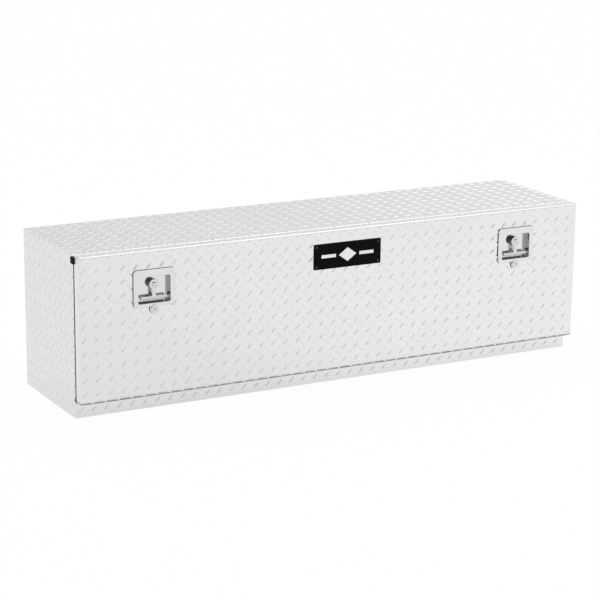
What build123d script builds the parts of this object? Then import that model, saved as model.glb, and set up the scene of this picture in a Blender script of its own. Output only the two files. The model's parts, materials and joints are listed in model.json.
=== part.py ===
from build123d import *
import math
import os

# Truck tool box of aluminium tread plate, with a full-length drop-down door.
# Millimetres. +X runs along the box to its right, +Y to its back and +Z up. The origin is the
# centre of the case's underside. Every piece is a separate solid, written to parts/NODE.step.

os.makedirs("parts", exist_ok=True)

# Case
LENGTH = 1524.0                # 60 in
HEIGHT = 432.0                 # 17 in
CASE_DEPTH = 345.0             # with the door in front of it, 381 mm or 15 in
SHEET = 2.0                    # thickness of the tread plate between its lugs
BEND = 3.0                     # outside radius of a folded edge
HEADER = 32.0                  # height of the flange folded down along the top of the doorway
JAMB = 26.0                    # width of the flange folded in along each side of the doorway
LEDGE = 22.5                   # depth of the flange folded in along the bottom of the doorway

# Door
DOOR_BOTTOM = 44.0             # height of the door's lower edge
DOOR_GAP = 8.0                 # room for the seal between the case and the door
DOOR_DEPTH = 28.0              # depth of the door pan
DOOR_CORNER = 5.5              # radius of the door's lower corners
DOOR_TOP_CORNER = 4.0          # radius of its upper corners
DOOR_BEND = 4.5                # outside radius of the folds round its face
DOOR_LIP = 16.0                # width of the return lip that presses on the seal
SEAL_CLEAR = 0.4               # between the seal and the door's lip

# Piano hinge under the door
KNUCKLES = 29
HINGE_LENGTH = 1470.0
KNUCKLE_GAP = 0.5
BARREL_R = 3.25
HINGE_PIN_R = 1.5
RUNNING_FIT = 0.05             # radial clearance of every pin in the piece that turns on it
LEAF = 1.2

# Latches
LATCH_X = 555.5                # from the middle of the box to the middle of a latch
HUB_Z = 342.5
LATCH_PLATE = (117.0, 98.0)    # width and height of the plate on the door's face
PLATE_Z = 334.0
PLATE_CORNER = 9.0
PLATE_EDGE = 1.0               # rounding of the plate's front edge
GASKET = 2.0                   # thickness of the rubber between the plate and the door
GASKET_PROUD = 0.3             # how far it is squeezed out beyond the plate's edge
DISH = (90.5, 70.5)            # mouth of the recess drawn into the plate
DISH_Z = 328.75
DISH_CORNER = 4.5
DISH_DEPTH = 18.5
DISH_DRAFT = 8.0               # degrees
LATCH_SHEET = 1.5
DISH_WALL = 1.2
LOCK_Z = 278.5
HANDLE_REACH = 35.0            # from the handle's pivot to its crossbar
HANDLE_DROP = 6.0              # depth of the pivot and of the crossbar behind the plate's face
CROSSBAR_R = 4.5
CROSSBAR_HALF = 38.0
HUB_R = 13.5
SHAFT_R = 5.0
CAM_LENGTH = 56.5

# Door stays
STAY_R = 200.0                 # from the hinge to each end of the stay
STAY_POST_ANGLE = 8.0          # of the post on the case, back from the vertical through the hinge
STAY_PIN_OUT = 13.5            # of the pin on the door, forward of the hinge
STAY_X = 731.0                 # from the middle of the box to the middle of the arm
STAY_ARM = (20.0, 3.0)         # width and thickness

# Badge and mounting holes
BADGE = (206.0, 69.5)
BADGE_X = 13.0                 # it sits a little to the right of the door's middle
BADGE_Z = 362.75
MOUNT_HOLES = (1320.0, 200.0)  # spacing along and across
MOUNT_HOLE_R = 5.5

# Planes worked out from the sizes above
HALF = LENGTH / 2
FRONT = -CASE_DEPTH / 2
BACK = CASE_DEPTH / 2
DOOR_BACK = FRONT - DOOR_GAP
DOOR_FACE = DOOR_BACK - DOOR_DEPTH
SKIN_BACK = DOOR_FACE + SHEET
GASKET_FACE = DOOR_FACE - GASKET
PLATE_FACE = GASKET_FACE - LATCH_SHEET
LEDGE_TOP = DOOR_BOTTOM - LEAF
HEADER_BOTTOM = HEIGHT - HEADER
HINGE_Y = FRONT - DOOR_GAP / 2
HINGE_Z = DOOR_BOTTOM - BARREL_R


def block(x0, x1, y0, y1, z0, z1):
    """A box between two corners."""
    return Pos((x0 + x1) / 2, (y0 + y1) / 2, (z0 + z1) / 2) * Box(x1 - x0, y1 - y0, z1 - z0)


def rod_x(y, z, radius, x0, x1):
    """A round bar along X."""
    return Pos((x0 + x1) / 2, y, z) * Rot(0, 90, 0) * Cylinder(radius, x1 - x0)


def rod_y(x, z, radius, y0, y1):
    """A round bar along Y."""
    return Pos(x, (y0 + y1) / 2, z) * Rot(90, 0, 0) * Cylinder(radius, y1 - y0)


def rod_z(x, y, radius, z0, z1):
    """A round bar along Z."""
    return Pos(x, y, (z0 + z1) / 2) * Cylinder(radius, z1 - z0)


def nut_y(x, z, across_flats, bore, y0, y1):
    """A hexagon nut on an axis along Y, with a flat on top."""
    outline = RegularPolygon(across_flats / 2, 6, major_radius=False)
    hexagon = Pos(x, y0, z) * Rot(90, 0, 0) * extrude(outline, -(y1 - y0))
    return hexagon - rod_y(x, z, bore, y0 - 1, y1 + 1)


def plate_y(x, z, width, height, corner, y0, y1, draft=0.0):
    """A plate with rounded corners, whose thickness runs back along Y from y0 to y1."""
    outline = RectangleRounded(width, height, corner)
    return Pos(x, y0, z) * Rot(90, 0, 0) * extrude(outline, -(y1 - y0), taper=draft)


def folded_sheet(points, thickness, bend, length, plane):
    """A sheet folded along a line of points, on the left of it, and as long as its length."""
    edge = FilletPolyline(*points, radius=bend)
    section = make_face(offset(edge, amount=thickness, side=Side.LEFT))
    return extrude(plane * section, length / 2, both=True)


def save(name, *shapes):
    """Write one node, which may be a group of separate solids."""
    solids = [solid for shape in shapes for solid in shape.solids()]
    node = solids[0] if len(solids) == 1 else Compound(solids)
    export_step(node, f"parts/{name}.step")


def save_pair(name, left):
    """Write a piece of the left end, and its mirror image at the right end."""
    save(f"{name}_left", left)
    save(f"{name}_right", mirror(left, about=Plane.YZ))


def save_both(name, make):
    """Write a piece made at the left latch, and the same piece at the right latch."""
    save(f"{name}_left", make(-LATCH_X))
    save(f"{name}_right", make(LATCH_X))


# Case

YZ_ACROSS = Plane(origin=(0, 0, 0), x_dir=(0, 1, 0), z_dir=(1, 0, 0))


def top_panel():
    """The top, with the doorway's header folded down along its front."""
    outline = [(BACK, HEIGHT), (FRONT, HEIGHT), (FRONT, HEADER_BOTTOM)]
    panel = folded_sheet(outline, SHEET, BEND, LENGTH, YZ_ACROSS)
    for side in (-1, 1):
        end = side * (HALF - SHEET / 2)
        panel -= block(end - SHEET / 2, end + SHEET / 2, FRONT - 1, BACK + 1, 0, HEIGHT - SHEET)
    return panel


def floor_panel():
    """The floor, folded up into the sill and in along the sill's top, with four bolt holes."""
    outline = [(FRONT + LEDGE, LEDGE_TOP), (FRONT, LEDGE_TOP), (FRONT, 0), (BACK, 0)]
    panel = folded_sheet(outline, SHEET, BEND, LENGTH - 2 * SHEET, YZ_ACROSS)
    for x in (-MOUNT_HOLES[0] / 2, MOUNT_HOLES[0] / 2):
        for y in (-MOUNT_HOLES[1] / 2, MOUNT_HOLES[1] / 2):
            panel -= rod_z(x, y, MOUNT_HOLE_R, -1, SHEET + 1)
    for x in knuckle_centres(0):
        panel -= rod_z(x, BODY_RIVET_Y, RIVET_R, LEDGE_TOP - SHEET - 1, LEDGE_TOP + 1)
    return panel


def end_panel():
    """The left end, with the doorway's jamb folded in along its front."""
    outline = [(-HALF, BACK), (-HALF, FRONT), (-HALF + JAMB, FRONT)]
    tall = HEIGHT - SHEET
    panel = Pos(0, 0, tall / 2) * folded_sheet(outline, SHEET, BEND, tall, Plane.XY)
    inner = -HALF + SHEET
    panel -= block(inner, inner + JAMB, FRONT - 1, FRONT + BEND, -1, LEDGE_TOP)
    panel -= block(inner, inner + JAMB, FRONT - 1, FRONT + BEND, HEADER_BOTTOM, HEIGHT)
    return panel


# Hinge

KNUCKLE_PITCH = HINGE_LENGTH / KNUCKLES
RIVET_R = 2.4
RIVET_HEAD_R = 4.0
RIVET_HEAD = 1.2
BODY_RIVET_Y = FRONT + LEDGE / 2
DOOR_RIVET_Y = DOOR_FACE + 0.45 * DOOR_DEPTH
LEAF_SETBACK = 1.75            # from a leaf's edge to the barrel, where the other leaf's knuckles turn
LEAF_EDGE = 1.0                # from a leaf's far edge to the fold it lies in
PIN_END = 2.0                  # how far the pin stands out of the last knuckle
PIN_HEAD = 1.6
PIN_HEAD_RISE = 0.8


def knuckle_centres(first):
    """The middle of every second knuckle, from the first or the second one."""
    start = -HINGE_LENGTH / 2 + KNUCKLE_PITCH / 2
    return [start + KNUCKLE_PITCH * i for i in range(first, KNUCKLES, 2)]


def hinge_leaf(first, near, far, rivet_y):
    """A leaf with its knuckles, from its edge near the barrel to its far edge."""
    half = HINGE_LENGTH / 2
    low, high = min(near, far), max(near, far)
    leaf = block(-half, half, low, high, LEDGE_TOP, DOOR_BOTTOM)
    width = KNUCKLE_PITCH - KNUCKLE_GAP
    tongue_low, tongue_high = min(near, HINGE_Y), max(near, HINGE_Y)
    for x in knuckle_centres(first):
        x0, x1 = x - width / 2, x + width / 2
        leaf += block(x0, x1, tongue_low, tongue_high, LEDGE_TOP, DOOR_BOTTOM)
        leaf += rod_x(HINGE_Y, HINGE_Z, BARREL_R, x0, x1)
        leaf -= rod_z(x, rivet_y, RIVET_R, LEDGE_TOP - 1, DOOR_BOTTOM + 1)
    return leaf - rod_x(HINGE_Y, HINGE_Z, HINGE_PIN_R + RUNNING_FIT, -half - 1, half + 1)


def hinge_pin():
    """The wire through all the knuckles, with a small head at each end."""
    half = HINGE_LENGTH / 2
    end = half + PIN_END
    pin = rod_x(HINGE_Y, HINGE_Z, HINGE_PIN_R, -end, end)
    pin += rod_x(HINGE_Y, HINGE_Z, HINGE_PIN_R + PIN_HEAD_RISE, end - PIN_HEAD, end)
    return pin + rod_x(HINGE_Y, HINGE_Z, HINGE_PIN_R + PIN_HEAD_RISE, -end, PIN_HEAD - end)


def rivets_z(centres, y, z0, z1):
    """Rivets through sheets that lie between two heights, with a head on each side."""
    rivets = []
    for x in centres:
        rivet = rod_z(x, y, RIVET_R, z0, z1)
        rivet += rod_z(x, y, RIVET_HEAD_R, z1, z1 + RIVET_HEAD)
        rivet += rod_z(x, y, RIVET_HEAD_R, z0 - RIVET_HEAD, z0)
        rivets.append(rivet)
    return rivets


# Seal

SEAL_FRONT = DOOR_BACK + SEAL_CLEAR
SEAL_WIDTH = 12.0
SEAL_INSET = 0.6               # from the end of the box to the seal
SEAL_ROUND = 1.0
CORNER_TOP = HEIGHT - 4.0
CORNER_TALL = 18.0
CORNER_PROUD = 4.0             # how far the moulded corner stands out of the end of the box
CORNER_BACK = 8.0              # how far it laps over the end panel
CORNER_IN = 24.0
CORNER_ROUND = 1.5
FOOT_BOTTOM = 45.0
FOOT_TALL = 12.0
FOOT_DEEP = 6.0                # thin enough to clear the door's lower edge as it turns
FOOT_PROUD = 0.6


def door_seal():
    """The rubber seal up both jambs and along the header, between its moulded ends."""
    outer = HALF - SEAL_INSET
    inside = outer - SEAL_WIDTH
    low, high = FOOT_BOTTOM + FOOT_TALL, CORNER_TOP - CORNER_TALL
    top = CORNER_TOP - 0.5
    along = HALF - CORNER_IN
    strips = [
        block(-outer, -inside, SEAL_FRONT, FRONT, low, high),
        block(inside, outer, SEAL_FRONT, FRONT, low, high),
        block(-along, along, SEAL_FRONT, FRONT, top - SEAL_WIDTH, top),
    ]
    return [fillet(strip.edges().group_by(Axis.Y)[0], SEAL_ROUND) for strip in strips]


def seal_corner():
    """The moulded block that joins the left and top strips and laps round the end panel."""
    low = CORNER_TOP - CORNER_TALL
    proud = -HALF - CORNER_PROUD
    corner = block(proud, -HALF, SEAL_FRONT, FRONT + CORNER_BACK, low, CORNER_TOP)
    corner += block(proud, -HALF + CORNER_IN, SEAL_FRONT, FRONT, low, CORNER_TOP)
    outer_edges = corner.edges().filter_by(Axis.Y).group_by(Axis.X)[0]
    return fillet(outer_edges, CORNER_ROUND)


def seal_foot():
    """The moulded end at the bottom of the left strip."""
    left, right = -HALF - FOOT_PROUD, -HALF + SEAL_WIDTH
    foot = block(left, right, FRONT - FOOT_DEEP, FRONT, FOOT_BOTTOM, FOOT_BOTTOM + FOOT_TALL)
    return fillet(foot.edges().filter_by(Axis.Y).group_by(Axis.X)[0], FOOT_PROUD)


# Door

LIP_FOOT = 20.0                # from the door's lower edge to the foot of its lip
FLANGE_RELIEF = 4.0            # how far the lower flange stops short of the door's back
FLANGE_END = 20.0              # length of lower flange left full depth at each end


def door_shell(inset):
    """The door's solid outline, shrunk by an inset, with its front edges rounded."""
    low, high = DOOR_BOTTOM + inset, HEIGHT - inset
    side = HALF - inset
    shell = block(-side, side, DOOR_FACE + inset, DOOR_BACK, low, high)
    upright = shell.edges().filter_by(Axis.Y)
    shell = fillet(upright.group_by(Axis.Z)[0], DOOR_CORNER - inset)
    shell = fillet(shell.edges().filter_by(Axis.Y).group_by(Axis.Z)[-1], DOOR_TOP_CORNER - inset)
    return fillet(shell.edges().group_by(Axis.Y)[0], DOOR_BEND - inset)


def door_pan():
    """The tread plate door's face and its four flanges."""
    inside = door_shell(SHEET)
    pan = door_shell(0) - (inside + Pos(0, 1, 0) * inside)
    relief = HALF - FLANGE_END
    flange_back = DOOR_BACK - FLANGE_RELIEF
    pan -= block(-relief, relief, flange_back, DOOR_BACK, DOOR_BOTTOM - 1, DOOR_BOTTOM + SHEET)
    for x in (-LATCH_X, LATCH_X):
        pan -= dish_mouth(x, DOOR_FACE - 1, SKIN_BACK + 1)
        pan -= rod_y(x, LOCK_Z, LOCK_BODY_R + 0.1, DOOR_FACE - 1, SKIN_BACK + 1)
        for rivet_x, rivet_z in latch_rivet_places(x):
            pan -= rod_y(rivet_x, rivet_z, LATCH_RIVET_R, DOOR_FACE - 1, SKIN_BACK + 1)
    for x, z in badge_rivet_places():
        pan -= rod_y(x, z, BADGE_RIVET_R, DOOR_FACE - 1, SKIN_BACK + 1)
    for x in knuckle_centres(1):
        pan -= rod_z(x, DOOR_RIVET_Y, RIVET_R, DOOR_BOTTOM - 1, DOOR_BOTTOM + SHEET + 1)
    return pan


def door_lip():
    """The flat strip welded in behind three of the flanges, which presses on the seal."""
    outer = HALF - SHEET
    inner = outer - DOOR_LIP
    top = HEIGHT - SHEET
    low = DOOR_BOTTOM + LIP_FOOT
    lip = block(-outer, outer, DOOR_BACK - SHEET, DOOR_BACK, low, top)
    lip -= block(-inner, inner, DOOR_BACK - SHEET, DOOR_BACK, low, top - DOOR_LIP)
    return lip & door_shell(SHEET)


STIFFENER_Z = 215.0
STIFFENER_CROWN = 40.0
STIFFENER_FOOT = 15.0
STIFFENER_SHEET = 1.5
STIFFENER_DEEP = 18.0
STIFFENER_HALF = 690.0


def door_stiffener():
    """The hat-section rail welded along the back of the door's face."""
    out = SKIN_BACK
    rise = SKIN_BACK + STIFFENER_DEEP
    half = STIFFENER_CROWN / 2
    outline = [
        (out, STIFFENER_Z - half - STIFFENER_FOOT),
        (out, STIFFENER_Z - half),
        (rise, STIFFENER_Z - half),
        (rise, STIFFENER_Z + half),
        (out, STIFFENER_Z + half),
        (out, STIFFENER_Z + half + STIFFENER_FOOT),
    ]
    edge = Polyline(*outline)
    section = make_face(offset(edge, amount=STIFFENER_SHEET, side=Side.RIGHT))
    return extrude(YZ_ACROSS * section, STIFFENER_HALF, both=True)


BADGE_SHEET = 1.5
BADGE_CORNER = 4.0
BADGE_RIVET_R = 1.8
BADGE_RIVET_INSET = 8.0
FACE_RIVET_HEAD_R = 3.4
FACE_RIVET_DOME = 1.2
FACE_RIVET_ROUND = 0.9
FACE_RIVET_TAIL = 1.0


def badge_rivet_places():
    across = BADGE[0] / 2 - BADGE_RIVET_INSET
    up = BADGE[1] / 2 - BADGE_RIVET_INSET
    return [(BADGE_X + x, BADGE_Z + z) for x in (-across, across) for z in (-up, up)]


def badge_plate():
    """The plain black plate near the middle of the door, with no lettering."""
    badge = plate_y(BADGE_X, BADGE_Z, *BADGE, BADGE_CORNER, DOOR_FACE - BADGE_SHEET, DOOR_FACE)
    for x, z in badge_rivet_places():
        badge -= rod_y(x, z, BADGE_RIVET_R, DOOR_FACE - BADGE_SHEET - 1, DOOR_FACE + 1)
    return badge


def rivet_y(x, z, radius, front, back):
    """A rivet along Y with a domed head in front and a flat one behind."""
    rivet = rod_y(x, z, radius, front, back)
    dome = rod_y(x, z, FACE_RIVET_HEAD_R, front - FACE_RIVET_DOME, front)
    rivet += fillet(dome.edges().group_by(Axis.Y)[0], FACE_RIVET_ROUND)
    return rivet + rod_y(x, z, FACE_RIVET_HEAD_R - 0.4, back, back + FACE_RIVET_TAIL)


def badge_rivets():
    face = DOOR_FACE - BADGE_SHEET
    return [rivet_y(x, z, BADGE_RIVET_R, face, SKIN_BACK) for x, z in badge_rivet_places()]


# Latch, from the plate's face back

LOCK_BODY_R = 9.5
LOCK_BEZEL_R = 10.6
LOCK_BORE_R = 6.5
LATCH_RIVET_R = 2.0
FRAME_SHEET = 2.0
FRAME_INSET = 2.0              # from the plate's edge to the frame's
FRAME_BACK = SKIN_BACK + FRAME_SHEET
DISH_BACK = PLATE_FACE + DISH_DEPTH
LOCK_LOBE_R = 13.5             # of the plate's lobe round the lock
BUSHING_R = 6.9
BUSHING_FLANGE = (12.0, 2.5)   # radius and thickness
BUSHING_BACK = PLATE_FACE + 32.0
CAM_FRONT = PLATE_FACE + 45.0
CAM_SHEET = 3.0
CAM_WIDTH = 22.0
CAM_SEAT_R = 4.0
CAM_NUT = (13.0, 5.0)          # across flats and height, as of every nut here
PIVOT_Y = PLATE_FACE + HANDLE_DROP
STEM_WIDTH = 10.0
STEM_THICK = 6.0
EYE_R = 4.8
HANDLE_PIN_R = 2.0
HANDLE_PIN_SINK = 1.2
CROSSBAR_ROUND = 2.5
HUB_ROUND = 1.5
HUB_FRONT = PLATE_FACE + 2.5
HUB_BACK = PLATE_FACE + DISH_DEPTH - DISH_WALL - 0.3
HUB_SLOT = 5.6
HUB_SLOT_BACK = PLATE_FACE + 11.5
BARREL_BACK = PLATE_FACE + 23.0
PLUG_BACK = BARREL_BACK + 0.3
TAIL_FRONT = BARREL_BACK + 0.4
TAIL_SHEET = 2.0
TAIL_LENGTH = 30.0
TAIL_WIDTH = 12.0
TAIL_END_R = 7.0
TAIL_SEAT_R = 3.0
TAIL_NUT = (10.0, 3.0)
LOCK_NUT = (24.0, 4.5)
BEZEL_FRONT = PLATE_FACE - 3.0
BEZEL_ROUND = 1.2
PLUG_FRONT = PLATE_FACE - 2.6
KEYWAY = (1.8, 7.6)            # width and height
KEYWAY_BACK = PLATE_FACE + 5.0
LATCH_RIVET_INSET = 6.5
LATCH_RIVET_UP = 36.0


def latch_rivet_places(x):
    across = LATCH_PLATE[0] / 2 - LATCH_RIVET_INSET
    heights = (PLATE_Z - LATCH_RIVET_UP, PLATE_Z + LATCH_RIVET_UP)
    return [(x + side * across, z) for side in (-1, 1) for z in heights]


def latch_outline(x, inset, y0, y1):
    """The plate's outline, shrunk by an inset, with a lobe at its lower edge for the lock."""
    width, height = LATCH_PLATE[0] - 2 * inset, LATCH_PLATE[1] - 2 * inset
    plate = plate_y(x, PLATE_Z, width, height, PLATE_CORNER - inset, y0, y1)
    return plate + rod_y(x, LOCK_Z, LOCK_LOBE_R - inset, y0, y1)


def latch_holes(x, y0, y1):
    """What the lock and the rivets take out of a sheet between y0 and y1."""
    holes = rod_y(x, LOCK_Z, LOCK_BODY_R + 0.1, y0 - 1, y1 + 1)
    for rivet_x, rivet_z in latch_rivet_places(x):
        holes += rod_y(rivet_x, rivet_z, LATCH_RIVET_R, y0 - 1, y1 + 1)
    return holes


def dish_mouth(x, y0, y1):
    """What the recess takes out of the door, the gasket and the frame, with a little to spare."""
    spare = 2 * DISH_WALL + 1
    return plate_y(x, DISH_Z, DISH[0] + spare, DISH[1] + spare, DISH_CORNER + DISH_WALL, y0, y1)


def latch_plate(x):
    """The stainless plate on the door's face, with the handle's recess drawn into it."""
    plate = latch_outline(x, 0, PLATE_FACE, GASKET_FACE)
    plate = fillet(plate.edges().group_by(Axis.Y)[0], PLATE_EDGE)
    outer = (DISH[0] + 2 * DISH_WALL, DISH[1] + 2 * DISH_WALL)
    outer_corner = DISH_CORNER + DISH_WALL
    plate += plate_y(x, DISH_Z, *outer, outer_corner, PLATE_FACE, DISH_BACK, DISH_DRAFT)
    plate -= plate_y(x, DISH_Z, *DISH, DISH_CORNER, PLATE_FACE, DISH_BACK - DISH_WALL, DISH_DRAFT)
    mouth = plate.edges().group_by(Axis.Y)[0].filter_by(
        lambda edge: abs(edge.center().X - x) < DISH[0] / 2 + 1
    )
    plate = fillet(mouth, PLATE_EDGE)
    plate -= latch_holes(x, PLATE_FACE, GASKET_FACE)
    return plate - rod_y(x, HUB_Z, BUSHING_R + 0.1, PLATE_FACE, DISH_BACK + 1)


def latch_gasket(x):
    """The rubber ring between the plate and the door, thicker than the door's lugs are high."""
    gasket = latch_outline(x, -GASKET_PROUD, GASKET_FACE, DOOR_FACE)
    gasket -= latch_holes(x, GASKET_FACE, DOOR_FACE)
    return gasket - dish_mouth(x, GASKET_FACE - 1, DOOR_FACE + 1)


def latch_frame(x):
    """The ring behind the door's face that the plate is riveted to."""
    frame = latch_outline(x, FRAME_INSET, SKIN_BACK, FRAME_BACK)
    frame -= latch_holes(x, SKIN_BACK, FRAME_BACK)
    return frame - dish_mouth(x, SKIN_BACK - 1, FRAME_BACK + 1)


def latch_rivets(x):
    """Four rivets at the plate's corners."""
    places = latch_rivet_places(x)
    rivets = [rivet_y(px, pz, LATCH_RIVET_R, PLATE_FACE, FRAME_BACK) for px, pz in places]
    return Compound([solid for rivet in rivets for solid in rivet.solids()])


def latch_bushing(x):
    """The flanged bearing behind the recess that the hub's shaft turns in."""
    bushing = rod_y(x, HUB_Z, BUSHING_R, DISH_BACK - DISH_WALL, BUSHING_BACK)
    bushing += rod_y(x, HUB_Z, BUSHING_FLANGE[0], DISH_BACK, DISH_BACK + BUSHING_FLANGE[1])
    return bushing - rod_y(x, HUB_Z, SHAFT_R + RUNNING_FIT, DISH_BACK - 5, BUSHING_BACK + 1)


def latch_hub(x):
    """The hub, slotted for the handle's eye, and its shaft."""
    hub = rod_y(x, HUB_Z, HUB_R, HUB_FRONT, HUB_BACK)
    hub = fillet(hub.edges().group_by(Axis.Y)[0], HUB_ROUND)
    slot_low, slot_high = HUB_Z - HUB_R - 1, HUB_Z + HUB_SLOT
    hub -= block(x - HUB_SLOT, x + HUB_SLOT, HUB_FRONT - 1, HUB_SLOT_BACK, slot_low, slot_high)
    hub -= rod_x(PIVOT_Y, HUB_Z, HANDLE_PIN_R, x - HUB_R, x + HUB_R)
    hub += rod_y(x, HUB_Z, SHAFT_R, HUB_BACK, CAM_FRONT)
    return hub + rod_y(x, HUB_Z, CAM_SEAT_R, CAM_FRONT, CAM_FRONT + CAM_SHEET + 6)


def handle_pin(x):
    """The cross pin through the hub's two ears."""
    half = HUB_R - HANDLE_PIN_SINK
    return rod_x(PIVOT_Y, HUB_Z, HANDLE_PIN_R, x - half, x + half)


def latch_cam(x):
    """The flat arm that catches behind the doorway's header."""
    back = CAM_FRONT + CAM_SHEET
    tip = HUB_Z + CAM_LENGTH - CAM_WIDTH / 2
    arm = rod_y(x, HUB_Z, CAM_WIDTH / 2, CAM_FRONT, back)
    arm += block(x - CAM_WIDTH / 2, x + CAM_WIDTH / 2, CAM_FRONT, back, HUB_Z, tip)
    arm += rod_y(x, tip, CAM_WIDTH / 2, CAM_FRONT, back)
    return arm - rod_y(x, HUB_Z, CAM_SEAT_R, CAM_FRONT - 1, back + 1)


def cam_nut(x):
    back = CAM_FRONT + CAM_SHEET
    return nut_y(x, HUB_Z, CAM_NUT[0], CAM_SEAT_R, back, back + CAM_NUT[1])


def t_handle(x):
    """The folding T: an eye on the cross pin, a flat stem and a round crossbar."""
    bar_z = HUB_Z - HANDLE_REACH
    left, right = x - STEM_WIDTH / 2, x + STEM_WIDTH / 2
    front, back = PIVOT_Y - STEM_THICK / 2, PIVOT_Y + STEM_THICK / 2
    handle = rod_x(PIVOT_Y, HUB_Z, EYE_R, left, right)
    handle += block(left, right, front, back, bar_z, HUB_Z)
    bar = rod_x(PIVOT_Y, bar_z, CROSSBAR_R, x - CROSSBAR_HALF, x + CROSSBAR_HALF)
    handle += fillet(bar.edges().filter_by(GeomType.CIRCLE), CROSSBAR_ROUND)
    return handle - rod_x(PIVOT_Y, HUB_Z, HANDLE_PIN_R + RUNNING_FIT, x - STEM_WIDTH, x + STEM_WIDTH)


def lock_barrel(x):
    """The lock's threaded body with its round bezel on the plate."""
    bezel = rod_y(x, LOCK_Z, LOCK_BEZEL_R, BEZEL_FRONT, PLATE_FACE)
    barrel = fillet(bezel.edges().group_by(Axis.Y)[0], BEZEL_ROUND)
    barrel += rod_y(x, LOCK_Z, LOCK_BODY_R, PLATE_FACE, BARREL_BACK)
    return barrel - rod_y(x, LOCK_Z, LOCK_BORE_R + RUNNING_FIT, BEZEL_FRONT - 1, BARREL_BACK + 1)


def lock_nut(x):
    return nut_y(x, LOCK_Z, LOCK_NUT[0], LOCK_BODY_R, FRAME_BACK, FRAME_BACK + LOCK_NUT[1])


def lock_plug(x):
    """The part that the key turns, with its keyway and a seat for the tail."""
    half_wide, half_tall = KEYWAY[0] / 2, KEYWAY[1] / 2
    low, high = LOCK_Z - half_tall, LOCK_Z + half_tall
    plug = rod_y(x, LOCK_Z, LOCK_BORE_R, PLUG_FRONT, PLUG_BACK)
    plug -= block(x - half_wide, x + half_wide, BEZEL_FRONT - 1, KEYWAY_BACK, low, high)
    seat_back = TAIL_FRONT + TAIL_SHEET + TAIL_NUT[1] + 1
    return plug + rod_y(x, LOCK_Z, TAIL_SEAT_R, PLUG_BACK, seat_back)


def lock_tail(x):
    """The flat tail on the back of the plug, which stands behind the hub when locked."""
    back = TAIL_FRONT + TAIL_SHEET
    half = TAIL_WIDTH / 2
    tail = rod_y(x, LOCK_Z, TAIL_END_R, TAIL_FRONT, back)
    tail += block(x - half, x + half, TAIL_FRONT, back, LOCK_Z, LOCK_Z + TAIL_LENGTH)
    return tail - rod_y(x, LOCK_Z, TAIL_SEAT_R, TAIL_FRONT - 1, back + 1)


def tail_nut(x):
    back = TAIL_FRONT + TAIL_SHEET
    return nut_y(x, LOCK_Z, TAIL_NUT[0], TAIL_SEAT_R, back, back + TAIL_NUT[1])


STRIKE = (50.0, 24.0, 3.0)     # width, height and thickness


def strike_plates():
    """Hard plates behind the header, where the cams bear."""
    half = STRIKE[0] / 2
    front, back = FRONT + SHEET, FRONT + SHEET + STRIKE[2]
    low, high = HEADER_BOTTOM, HEADER_BOTTOM + STRIKE[1]
    return [block(x - half, x + half, front, back, low, high) for x in (-LATCH_X, LATCH_X)]


# Door stays

SWING = math.radians(90)
PIN_ANGLE = math.asin(STAY_PIN_OUT / STAY_R)
POST_ANGLE = math.radians(STAY_POST_ANGLE)
PIN_Y = HINGE_Y - STAY_PIN_OUT
PIN_Z = HINGE_Z + STAY_R * math.cos(PIN_ANGLE)
POST_Y = HINGE_Y + STAY_R * math.sin(POST_ANGLE)
POST_Z = HINGE_Z + STAY_R * math.cos(POST_ANGLE)
REACH_SHUT = 2 * STAY_R * math.sin((PIN_ANGLE + POST_ANGLE) / 2)
REACH_OPEN = 2 * STAY_R * math.sin((PIN_ANGLE + POST_ANGLE + SWING) / 2)
STAY_TILT = math.degrees(math.atan2(POST_Z - PIN_Z, POST_Y - PIN_Y))
NECK_R = 4.0
NECK_CLEAR = 0.3
POST_FOOT = (16.0, 3.0)        # radius and thickness
POST_HEAD = (8.0, 3.0)
STAY_PIN_R = 3.0
STAY_PIN_HEAD = (5.0, 2.0)
ARM_X = -STAY_X
ARM_HALF = STAY_ARM[1] / 2
ARM_SIDE_CLEAR = 0.5           # between the arm's flat sides and its neighbours
BRACKET_SHEET = 3.0
BRACKET_FOOT = (21.0, 2.5)     # width and thickness
BRACKET_FOOT_HALF = 22.0       # half of the foot's height
BRACKET_WEB_HALF = 11.0
BRACKET_EYE_R = 9.0
WEB_X = ARM_X - ARM_HALF - ARM_SIDE_CLEAR - BRACKET_SHEET


def stay_arm():
    """The slotted left arm: it turns on the door's pin and slides on the case's post."""
    radius = STAY_ARM[0] / 2
    slot_r = NECK_R + NECK_CLEAR
    far = REACH_OPEN + NECK_CLEAR
    arm = block(ARM_X - ARM_HALF, ARM_X + ARM_HALF, 0, far, -radius, radius)
    arm += rod_x(0, 0, radius, ARM_X - ARM_HALF, ARM_X + ARM_HALF)
    arm += rod_x(far, 0, radius, ARM_X - ARM_HALF, ARM_X + ARM_HALF)
    near = REACH_SHUT - NECK_CLEAR
    arm -= block(ARM_X - 5, ARM_X + 5, near, far, -slot_r, slot_r)
    arm -= rod_x(near, 0, slot_r, ARM_X - 5, ARM_X + 5)
    arm -= rod_x(far, 0, slot_r, ARM_X - 5, ARM_X + 5)
    arm -= rod_x(0, 0, STAY_PIN_R + RUNNING_FIT, ARM_X - 5, ARM_X + 5)
    return Pos(0, PIN_Y, PIN_Z) * Rot(STAY_TILT, 0, 0) * arm


def stay_post():
    """The left post on the end panel: a foot, a shoulder, the neck in the slot and a head."""
    wall = -HALF + SHEET
    shoulder = ARM_X - ARM_HALF - ARM_SIDE_CLEAR
    head = ARM_X + ARM_HALF + ARM_SIDE_CLEAR
    post = rod_x(POST_Y, POST_Z, POST_FOOT[0], wall, wall + POST_FOOT[1])
    post += rod_x(POST_Y, POST_Z, POST_HEAD[0], wall, shoulder)
    post += rod_x(POST_Y, POST_Z, NECK_R, wall, head)
    return post + rod_x(POST_Y, POST_Z, POST_HEAD[0], head, head + POST_HEAD[1])


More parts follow.
